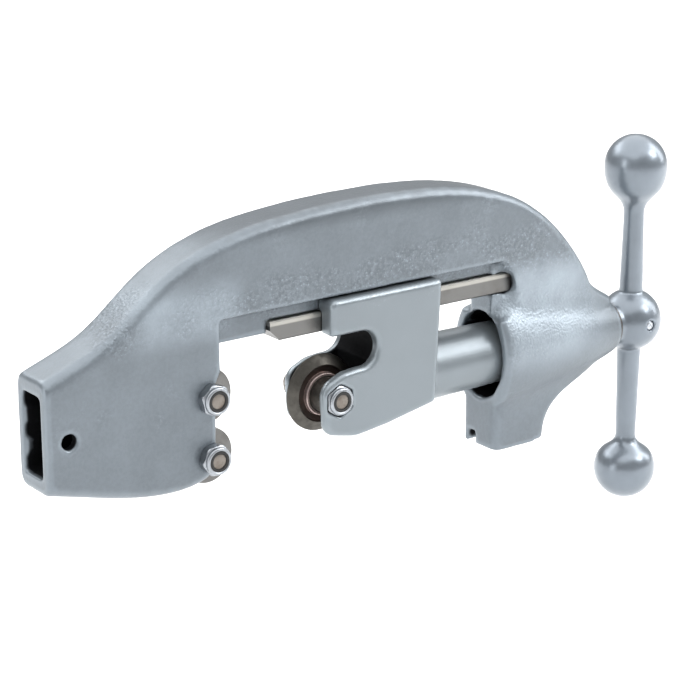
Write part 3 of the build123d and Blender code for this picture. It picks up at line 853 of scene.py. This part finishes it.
class CUTTER_OT_tee_handle(bpy.types.Operator):
    """Forges the handle with its hub and two balls"""
    bl_idname = "cutter.tee_handle"
    bl_label = "Tee Handle"

    def execute(self, context):
        sizes, colours = context.scene.cutter_castings, context.scene.cutter_colours
        wave = {"height": 0.05 * MM, "length": 9 * MM, "cover": lambda place: 1.0}
        mesh = skin("handle", "tee_handle", sizes.handle_grain, passes=4, share=0.7, wave=wave)
        store(mesh, "edge", edge_highlight(mesh, flat=90.0, sharp=320.0))
        store(mesh, "shelter", shelter(mesh, 12 * MM))
        gloss = handle_gloss("handle_gloss", colours.handle_paint)
        add_piece("tee_handle", mesh, "screw_body", ["handle"], gloss)
        return {"FINISHED"}


def screw_shank(sizes, centre):
    """Collar, journal and stub of the feed screw, behind its thread."""
    collar_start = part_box("inner_thrust_washer")[0].x - sizes.collar_length
    collar = width("feed_screw", 1) / 2
    journal = sizes.journal_diameter / 2
    ease = 0.5 * MM
    start, end = collar_start - centre.x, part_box("feed_screw")[1].x - centre.x
    step = start + sizes.collar_length
    profile = [(0, start), (collar - ease, start), (collar, start + ease), (collar, step - ease),
               (collar - ease, step), (journal, step), (journal, end - 2 * ease), (journal - 2 * ease, end),
               (0, end)]
    return lathe("screw_shank", profile, centre, 0, sizes.segments), collar_start


class CUTTER_OT_feed_screw(bpy.types.Operator):
    """Cuts the left-hand feed thread and turns the screw's collar and journal"""
    bl_idname = "cutter.feed_screw"
    bl_label = "Feed Screw"

    def execute(self, context):
        sizes, colours = context.scene.cutter_turned, context.scene.cutter_colours
        steel = turned_steel("screw_steel", colours.bare_steel, FEED, 0, gloss=0.28, film=0.5)
        shank, thread_end = screw_shank(sizes, FEED)
        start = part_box("feed_screw")[0].x
        thread = grown("feed_thread", bpy.data.meshes.new("feed_thread"), thread_tree(), {
            "Start": start, "Length": thread_end - start, "Pitch": sizes.thread_pitch,
            "Crest": sizes.thread_diameter / 2, "Depth": sizes.thread_depth, "Axis Z": FEED.z,
            "Around": sizes.segments // 2, "Material": steel})
        whole = bmesh.new()
        whole.from_mesh(shank)
        whole.from_mesh(thread)
        bmesh.ops.recalc_face_normals(whole, faces=whole.faces)
        mesh = bpy.data.meshes.new("feed_screw_cut")
        whole.to_mesh(mesh)
        whole.free()
        mesh.shade_smooth()
        mesh.set_sharp_from_angle(angle=math.radians(40))
        add_piece("feed_screw_cut", mesh, "screw_body", ["feed_screw"], steel)
        return {"FINISHED"}


RING_SEAT = 1.65 * MM  # depth of the nylon ring's seat in a lock nut


def nut_profile(sizes, height, corner, across):
    """Self-locking nut from its seat at 0 to its front at -height."""
    bore, seat = sizes.bolt_diameter / 2 + 0.02 * MM, sizes.ring_bore / 2
    body = height - sizes.collar_height
    collar = across / 2 - 0.25 * MM
    cone = [(corner - (corner - collar) * t * t, -body - 0.1 * MM + 0.9 * MM * (1 - t)) for t in shares(5)]
    foot = [(across / 2 - 0.3 * MM, 0), (corner - 0.3 * MM, -0.35 * MM)]
    round_off = 1.0 * MM
    dome = [(collar - round_off * (1 - math.cos(a)), -height + round_off * (1 - math.sin(a))) for a in
            (0, 0.3, 0.6, 0.9, 1.2, math.pi / 2)]
    back = -height + RING_SEAT
    lip = [(seat + 0.25 * MM, -height), (seat, -height + 0.2 * MM), (seat, back), (bore, back)]
    return [(bore, 0)] + foot + cone + dome + lip


def ring_profile(sizes, height):
    """Nylon ring, crowned, inside the nut's collar."""
    bore, seat = sizes.bolt_diameter / 2 + 0.01 * MM, sizes.ring_bore / 2 - 0.01 * MM
    back, front, lip = -height + RING_SEAT, -height + 0.22 * MM, bore - 0.62 * MM
    rise = 0.12 * MM
    crown = [(seat + (lip - seat) * t, front - rise * math.sin(math.pi * t)) for t in shares(5)]
    return [(bore, back), (seat, back)] + crown + [(lip, front + rise), (bore, front + 0.75 * MM)]


class CUTTER_OT_lock_nuts(bpy.types.Operator):
    """Makes the self-locking nuts and their nylon rings"""
    bl_idname = "cutter.lock_nuts"
    bl_label = "Lock Nuts"

    def execute(self, context):
        sizes, colours = context.scene.cutter_turned, context.scene.cutter_colours
        zinc = zinc_plate("zinc_plate", colours.zinc)
        black = nylon("black_nylon", colours.nylon)
        groups = (("roller", "frame_body", ["upper_roller_nut", "lower_roller_nut"],
                   ["upper_nut_insert", "lower_nut_insert"], (0.30, -0.12)),
                  ("wheel", "slide_body", ["wheel_nut"], ["wheel_nut_insert"], (0.52,)))
        for label, body, nuts, rings, turns in groups:
            height, across = width(nuts[0], 1), width(nuts[0], 0)
            corner = across / math.sqrt(3) - 0.35 * MM
            places = [Vector((middle(nut).x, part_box(nut)[1].y, middle(nut).z)) for nut in nuts]
            profile = nut_profile(sizes, height, corner, across)
            shape = lathe("nut", profile, (0, 0, 0), 1, sizes.segments, across)
            mesh = fastener_set(f"{label}_lock_nuts", shape, places, turns, zinc)
            add_piece(f"{label}_lock_nuts", mesh, body, nuts)
            shape = lathe("ring", ring_profile(sizes, height), (0, 0, 0), 1, sizes.segments)
            mesh = fastener_set(f"{label}_nylon_rings", shape, places, turns, black)
            add_piece(f"{label}_nylon_rings", mesh, body, rings)
        return {"FINISHED"}


def bolt_profile(sizes, length, corner, across):
    """Bolt from the end of its shank at 0 to the top of its head at length."""
    shank, seat = sizes.bolt_diameter / 2, length - sizes.head_height
    chamfer = [(shank - 0.85 * MM, 0), (shank - 0.75 * MM, 0.05 * MM), (shank, 0.75 * MM)]
    face, flat, dish = across / 2 - 0.4 * MM, across / 2, length - 0.15 * MM
    washer = [(shank, seat), (face, seat), (face, seat + 0.3 * MM), (corner, seat + 0.3 * MM)]
    cone = [(corner - (corner - flat + 0.5 * MM) * t * t, length - 0.9 * MM * (1 - t)) for t in shares(4)]
    top = [(flat - 1.6 * MM, length), (flat - 1.8 * MM, dish), (0, dish)]
    return [(0, 0.06 * MM)] + chamfer + washer + cone + top


class CUTTER_OT_bolts(bpy.types.Operator):
    """Makes the hexagon bolts through the wheel and the rollers"""
    bl_idname = "cutter.bolts"
    bl_label = "Bolts"

    def execute(self, context):
        sizes, colours = context.scene.cutter_turned, context.scene.cutter_colours
        groups = (("roller", "frame_body", ["upper_roller_bolt", "lower_roller_bolt"], (0.2, 0.75)),
                  ("wheel", "slide_body", ["wheel_bolt"], (0.4,)))
        for label, body, bolts, turns in groups:
            length, across = width(bolts[0], 1), width(bolts[0], 0)
            corner = across / math.sqrt(3) - 0.4 * MM
            places = [Vector((middle(bolt).x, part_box(bolt)[0].y, middle(bolt).z)) for bolt in bolts]
            steel = turned_steel(
                f"{label}_bolt_steel", colours.bolt_steel, places[0], 1, gloss=0.34, film=0.6)
            profile = bolt_profile(sizes, length, corner, across)
            shape = lathe("bolt", profile, (0, 0, 0), 1, sizes.segments, across)
            mesh = fastener_set(f"{label}_bolts", shape, places, turns, steel)
            add_piece(f"{label}_bolts", mesh, body, bolts)
        return {"FINISHED"}


def wheel_profile(sizes, end, edge, bore):
    """Cutter wheel: hub, raised ring, flat web and ground bevel, both sides."""
    hub, ring, web = sizes.hub_diameter / 2, sizes.ring_diameter / 2, sizes.web_thickness / 2
    bevel = edge - sizes.bevel_width
    half = [(bore, end), (hub, end), (hub - 0.2 * MM, web + 1.9 * MM), (ring, web + 2 * MM),
            (ring + 0.15 * MM, web), (bevel - 0.6 * MM, web), (bevel, web + 0.7 * MM), (edge, 0.12 * MM)]
    half = softened(half + [(0, 0)], {1: 0.6 * MM, 3: 0.7 * MM, 6: 0.25 * MM})[:-1]
    return half + [(radius, -distance) for radius, distance in reversed(half)]


class CUTTER_OT_cutting_set(bpy.types.Operator):
    """Turns the cutter wheel and the two back-up rollers"""
    bl_idname = "cutter.cutting_set"
    bl_label = "Wheel and Rollers"

    def execute(self, context):
        sizes, colours = context.scene.cutter_turned, context.scene.cutter_colours
        bore = width("wheel_bush", 0) / 2 + 0.06 * MM
        steel = wheel_steel("tool_steel", colours.tool_steel, sizes)
        profile = wheel_profile(sizes, width("cutter_wheel", 1) / 2, width("cutter_wheel", 0) / 2, bore)
        mesh = lathe("cutting_wheel", profile, WHEEL, 1, 2 * sizes.segments)
        add_piece("cutting_wheel", mesh, "wheel_body", ["cutter_wheel"], steel)
        for side in ("upper", "lower"):
            node = f"{side}_roller"
            radius, half = width(node, 0) / 2, width(node, 1) / 2
            bore = sizes.bolt_diameter / 2 + 0.1 * MM
            profile = [(bore, half - 0.4 * MM), (bore + 0.4 * MM, half), (radius, half), (radius, -half),
                       (bore + 0.4 * MM, -half), (bore, 0.4 * MM - half)]
            profile = softened(profile, {2: 0.9 * MM, 3: 0.9 * MM})
            steel = turned_steel(f"{node}_steel", colours.bare_steel, middle(node), 1, gloss=0.26, film=0.3)
            mesh = lathe(f"{node}_ground", profile, middle(node), 1, sizes.segments)
            add_piece(f"{node}_ground", mesh, f"{node}_body", [node], steel)
        return {"FINISHED"}


class CUTTER_OT_guide_rail(bpy.types.Operator):
    """Finishes the ground guide rail and its screws"""
    bl_idname = "cutter.guide_rail"
    bl_label = "Guide Rail"

    def execute(self, context):
        colours = context.scene.cutter_colours
        repaint("guide_rail", ground_steel("rail_steel", colours.bare_steel, RAIL_END.z))
        for side in ("left", "middle", "right"):
            node = f"{side}_rail_screw"
            steel = turned_steel(f"{node}_steel", colours.bolt_steel, middle(node), 2, gloss=0.34, film=0.5)
            repaint(node, steel)
        return {"FINISHED"}


def pin_profile(end, radius):
    """Spring pin with a dimple in each end."""
    half = [(0, end - 0.5 * MM), (0.5 * MM, end - 0.45 * MM), (0.9 * MM, end - 0.1 * MM), (1.2 * MM, end),
            (1.7 * MM, end - 0.1 * MM), (radius - 0.2 * MM, end - 0.5 * MM), (radius, end - 1.0 * MM)]
    return half + [(reach, -along) for reach, along in reversed(half)]


class CUTTER_OT_small_parts(bpy.types.Operator):
    """Finishes the bush, the thrust washers and the spring pin"""
    bl_idname = "cutter.small_parts"
    bl_label = "Small Parts"

    def execute(self, context):
        sizes, colours = context.scene.cutter_turned, context.scene.cutter_colours
        oiled = turned_steel("washer_steel", colours.washer, FEED, 0, gloss=0.35, film=0.5)
        for side in ("inner", "outer"):
            repaint(f"{side}_thrust_washer", oiled)
        bush = turned_steel("bush_steel", colours.bare_steel, WHEEL, 1, gloss=0.25, film=0.2)
        repaint("wheel_bush", bush)
        pin, radius = middle("handle_spring_pin"), width("handle_spring_pin", 0) / 2 - 0.02 * MM
        steel = turned_steel("pin_steel", shade(colours.zinc, 1.5), pin, 1, gloss=0.25, film=0.1)
        profile = pin_profile(width("handle_spring_pin", 1) / 2, radius)
        mesh = lathe("hub_pin", profile, pin, 1, sizes.segments)
        add_piece("hub_pin", mesh, "screw_body", ["handle_spring_pin"], steel)
        return {"FINISHED"}


# ---------------------------------------------------------------- studio
def aimed(place, target):
    """Matrix of a camera or light at a place, looking at a target."""
    turn = (Vector(target) - Vector(place)).to_track_quat("-Z", "Y").to_matrix().to_4x4()
    turn.translation = Vector(place)
    return turn


def soft_light(name, place, target, size, power):
    """Rectangular soft light."""
    lamp = bpy.data.lights.new(name, "AREA")
    lamp.shape = "RECTANGLE"
    lamp.size, lamp.size_y = size
    lamp.energy = power
    placed(name, lamp).matrix_world = aimed(place, target)


class CUTTER_OT_studio(bpy.types.Operator):
    """Sets the floor, the soft lights and the camera"""
    bl_idname = "cutter.studio"
    bl_label = "Studio"

    def execute(self, context):
        scene, studio = context.scene, context.scene.cutter_studio
        low, high = (Vector(corner) for corner in CAD_BOX)
        centre = (low + high) / 2
        half = studio.floor_size / 2
        sheet = bpy.data.meshes.new("floor")
        corners = [(-half, -half), (half, -half), (half, half), (-half, half)]
        sheet.from_pydata([(x, y, low.z - 30 * MM) for x, y in corners], [], [(0, 1, 2, 3)])
        sheet.materials.append(floor_paper("floor_paper"))
        placed("floor", sheet)

        world = bpy.data.worlds.new("white_room")
        world.use_nodes = True
        surroundings = world.node_tree.nodes["Background"]
        surroundings.inputs["Color"].default_value = (1.0, 1.0, 1.0, 1.0)
        surroundings.inputs["Strength"].default_value = studio.sky
        scene.world = world
        soft_light("ceiling_light", (0.2, 0.5, 2.4), (0.2, 0.5, 0.0), (6.0, 6.0), studio.ceiling)
        soft_light("left_light", (-1.1, -0.05, 0.25), centre, (0.35, 0.9), studio.left)
        soft_light("right_light", (1.40, -0.34, 0.68), centre, (0.45, 1.2), studio.right)
        soft_light("front_light", (0.935, -0.78, 0.78), centre, (0.45, 0.45), studio.front)
        soft_light("back_light", (-0.15, 1.15, 0.95), centre, (1.0, 0.5), studio.back)

        back = Vector((-math.sin(studio.azimuth) * math.cos(studio.elevation),
                       -math.cos(studio.azimuth) * math.cos(studio.elevation), math.sin(studio.elevation)))
        aim = centre + Vector(studio.aim)
        camera = bpy.data.cameras.new("camera")
        camera.lens = studio.lens
        camera.sensor_width = 36.0
        camera.clip_start = 0.02
        camera.clip_end = 40.0
        scene.camera = placed("camera", camera)
        scene.camera.matrix_world = aimed(aim + back * studio.distance, aim)
        scene.view_settings.view_transform = "Standard"
        return {"FINISHED"}


class CUTTER_PT_panel(bpy.types.Panel):
    """Lists the cutter's pieces"""
    bl_idname = "CUTTER_PT_panel"
    bl_label = "Pipe Cutter"
    bl_space_type = "VIEW_3D"
    bl_region_type = "UI"
    bl_category = "Pipe Cutter"

    def draw(self, context):
        for operator in OPERATORS:
            self.layout.operator(operator.bl_idname)
        for group in GROUPS:
            settings = getattr(context.scene, group)
            box = self.layout.box()
            for name in settings.__annotations__:
                box.prop(settings, name)


OPERATORS = (
    CUTTER_OT_frame_casting, CUTTER_OT_slide_casting, CUTTER_OT_tee_handle, CUTTER_OT_feed_screw,
    CUTTER_OT_lock_nuts, CUTTER_OT_bolts, CUTTER_OT_cutting_set, CUTTER_OT_guide_rail,
    CUTTER_OT_small_parts, CUTTER_OT_studio,
)
GROUPS = {
    "cutter_castings": CastingSizes, "cutter_turned": TurnedSizes, "cutter_colours": Colours,
    "cutter_studio": Studio,
}


def register():
    for name, group in GROUPS.items():
        bpy.utils.register_class(group)
        setattr(bpy.types.Scene, name, PointerProperty(type=group))
    for item in OPERATORS + (CUTTER_PT_panel,):
        bpy.utils.register_class(item)


def unregister():
    for item in reversed(OPERATORS + (CUTTER_PT_panel,)):
        bpy.utils.unregister_class(item)
    for name, group in GROUPS.items():
        delattr(bpy.types.Scene, name)
        bpy.utils.unregister_class(group)


def main():
    """Builds every piece in order."""
    register()
    for operator in OPERATORS:
        group, name = operator.bl_idname.split(".")
        getattr(getattr(bpy.ops, group), name)()


if __name__ == "__main__":
    main()
